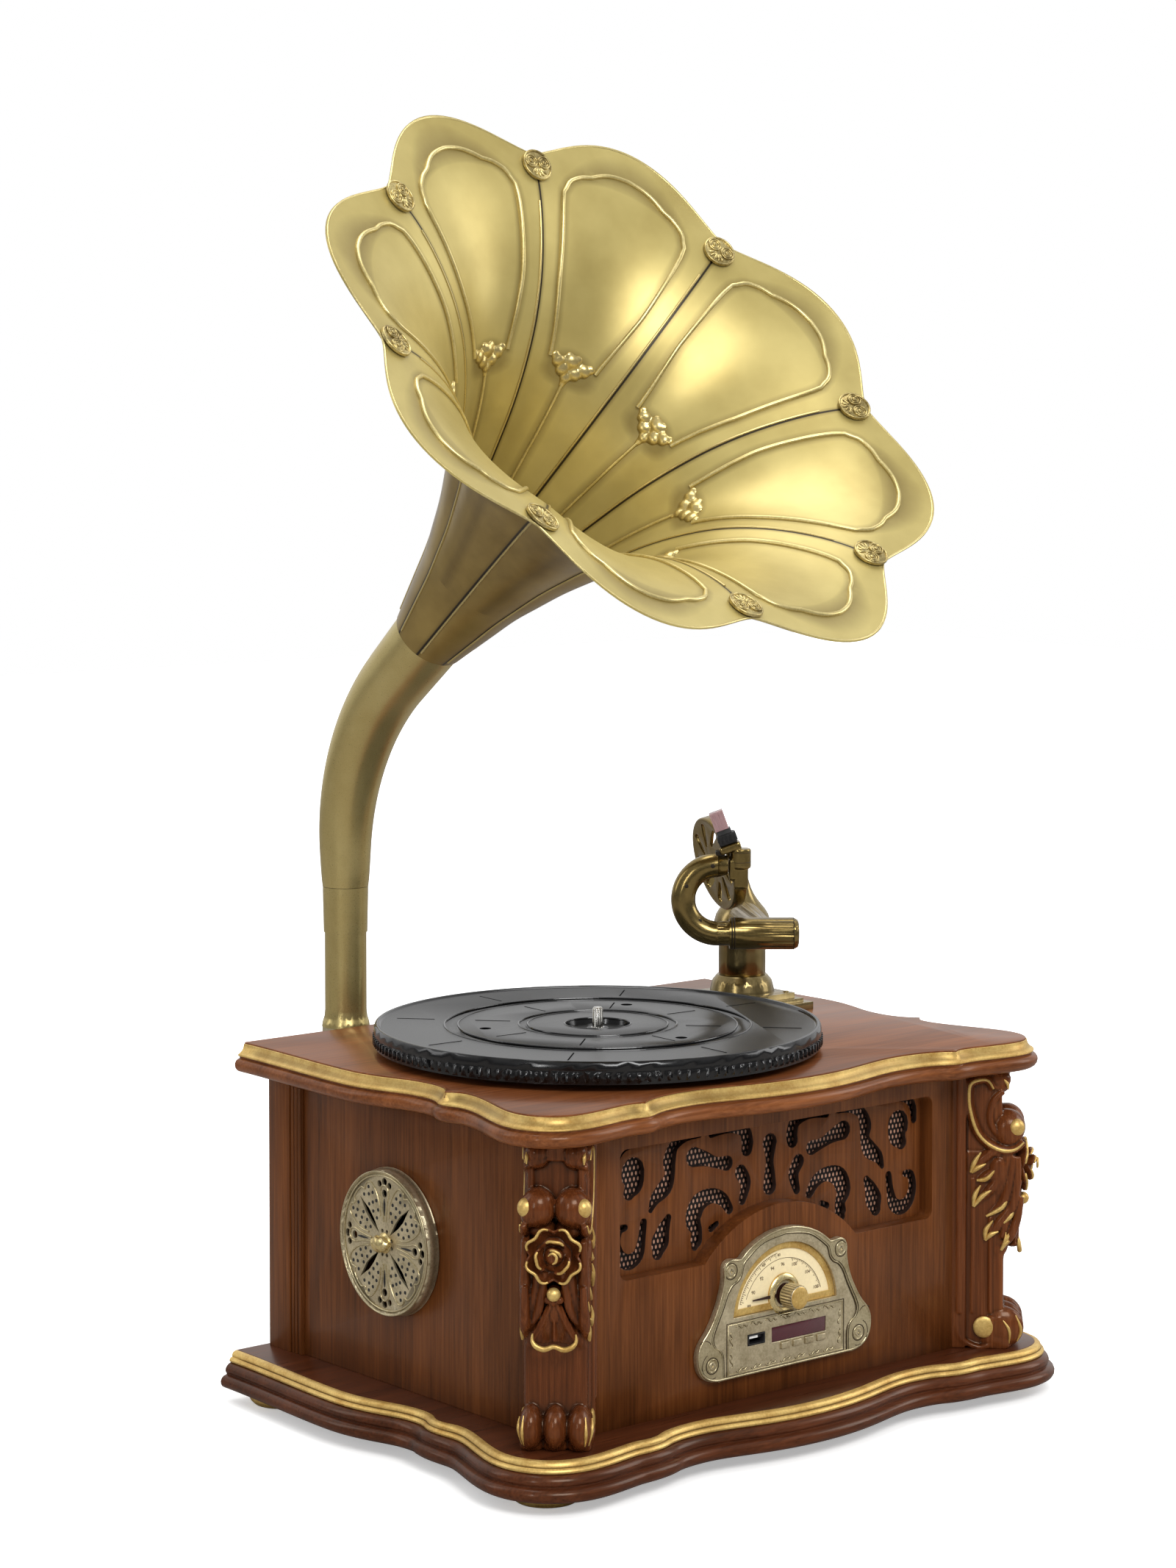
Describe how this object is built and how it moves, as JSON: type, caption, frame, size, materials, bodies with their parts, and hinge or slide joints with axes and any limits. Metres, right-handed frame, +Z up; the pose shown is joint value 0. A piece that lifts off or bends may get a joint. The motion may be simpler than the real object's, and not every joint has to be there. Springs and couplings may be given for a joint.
{
  "type": "record player",
  "caption": "Table record player in a moulded wooden cabinet with carved corners, a flower horn on a bent tube, a flip-over tonearm and a control plate with dial.",
  "frame": {"origin": "middle of the cabinet body's footprint, on the plane that the feet stand on", "axes": "+Z up, +X to the right along the front, +Y to the back; the front faces -Y"},
  "size_m": [0.5604, 0.4609, 0.8724],
  "materials": {
    "wood": "satin",
    "dark_wood": "satin",
    "gold_paint": "satin",
    "bronze_metal": "satin",
    "horn_brass": "satin",
    "black_plastic": "matte",
    "mesh": "matte",
    "cream_card": "satin",
    "maroon_window": "gloss",
    "steel": "satin",
    "polished_steel": "polished",
    "pointer": "matte",
    "board_green": "satin",
    "iron": "matte",
    "belt_rubber": "matte",
    "red_plastic": "gloss",
    "pink_clear": "gloss"
  },
  "bodies": {
    "cabinet": {"feet": "gold_paint", "base_board": "wood", "front_panel": "wood", "left_panel": "wood", "right_panel": "wood", "back_panel": "dark_wood", "rear_posts": "wood", "left_corner_column": "wood", "right_corner_column": "wood", "top_board": "wood", "fretwork_panel": "wood", "speaker_mesh": "mesh", "left_vent": "bronze_metal", "right_vent": "bronze_metal", "left_vent_finial": "gold_paint", "right_vent_finial": "gold_paint", "control_plate": "bronze_metal", "dial_face": "cream_card", "dial_frame": "gold_paint", "display_window": "maroon_window", "plate_screws": "bronze_metal", "usb_socket": "steel", "circuit_board": "board_green", "speakers": "black_plastic", "transformer": "iron", "terminal_plate": "black_plastic", "motor": "steel", "drive_belt": "belt_rubber", "bearing_housing": "bronze_metal", "arm_base": "bronze_metal", "arm_pivot_pin": "steel", "horn_bracket": "bronze_metal", "horn_stem": "horn_brass", "horn_collar": "horn_brass"},
    "platter": {"platter": "black_plastic", "spindle": "polished_steel"},
    "pulley": {"motor_pulley": "bronze_metal"},
    "tuning": {"tuning_knob": "bronze_metal", "dial_pointer": "pointer"},
    "push_1": {"button_1": "bronze_metal"},
    "push_2": {"button_2": "bronze_metal"},
    "push_3": {"button_3": "bronze_metal"},
    "push_4": {"button_4": "bronze_metal"},
    "arm": {"arm_post": "bronze_metal", "arm_tube": "bronze_metal", "arm_socket": "bronze_metal"},
    "gooseneck": {"gooseneck": "bronze_metal", "sound_box": "bronze_metal", "sound_box_bracket": "bronze_metal", "cartridge": "black_plastic", "stylus": "red_plastic", "stylus_guard": "pink_clear"},
    "horn": {"horn_spigot": "horn_brass", "horn_elbow": "horn_brass", "horn_bell": "horn_brass", "horn_medallions": "horn_brass"}
  },
  "joints": [
    {"name": "platter_spin", "type": "hinge", "parent": "cabinet", "child": "platter", "pos_m": [-0.047, -0.0215, 0.265], "axis": [0, 0, 1], "continuous": true},
    {"name": "pulley_spin", "type": "hinge", "parent": "cabinet", "child": "pulley", "pos_m": [0.0322, 0.0577, 0.253], "axis": [0, 0, 1], "continuous": true},
    {"name": "tuning_turn", "type": "hinge", "parent": "cabinet", "child": "tuning", "pos_m": [0, -0.154, 0.097], "axis": [0, 1, 0], "range_deg": [0, 180]},
    {"name": "push_1_press", "type": "slide", "parent": "cabinet", "child": "push_1", "axis": [0, 1, 0], "range_m": [0, 0.0008], "stiffness_N_per_m": 400, "springref_m": -0.0005},
    {"name": "push_2_press", "type": "slide", "parent": "cabinet", "child": "push_2", "axis": [0, 1, 0], "range_m": [0, 0.0008], "stiffness_N_per_m": 400, "springref_m": -0.0005},
    {"name": "push_3_press", "type": "slide", "parent": "cabinet", "child": "push_3", "axis": [0, 1, 0], "range_m": [0, 0.0008], "stiffness_N_per_m": 400, "springref_m": -0.0005},
    {"name": "push_4_press", "type": "slide", "parent": "cabinet", "child": "push_4", "axis": [0, 1, 0], "range_m": [0, 0.0008], "stiffness_N_per_m": 400, "springref_m": -0.0005},
    {"name": "arm_swing", "type": "hinge", "parent": "cabinet", "child": "arm", "pos_m": [0.143, 0.042, 0.3115], "axis": [0, 0, 1], "range_deg": [-16, 22]},
    {"name": "gooseneck_flip", "type": "hinge", "parent": "arm", "child": "gooseneck", "pos_m": [0.05447, -0.07953, 0.3215], "axis": [0.766, -0.6428, 0], "range_deg": [0, 120]},
    {"name": "horn_turn", "type": "hinge", "parent": "cabinet", "child": "horn", "pos_m": [-0.113, 0.1765, 0.342], "axis": [0, 0, 1], "range_deg": [-30, 30]}
  ],
  "couplings": [
    {"joint": "pulley_spin", "follows": "platter_spin", "ratio": 10.5}
  ]
}
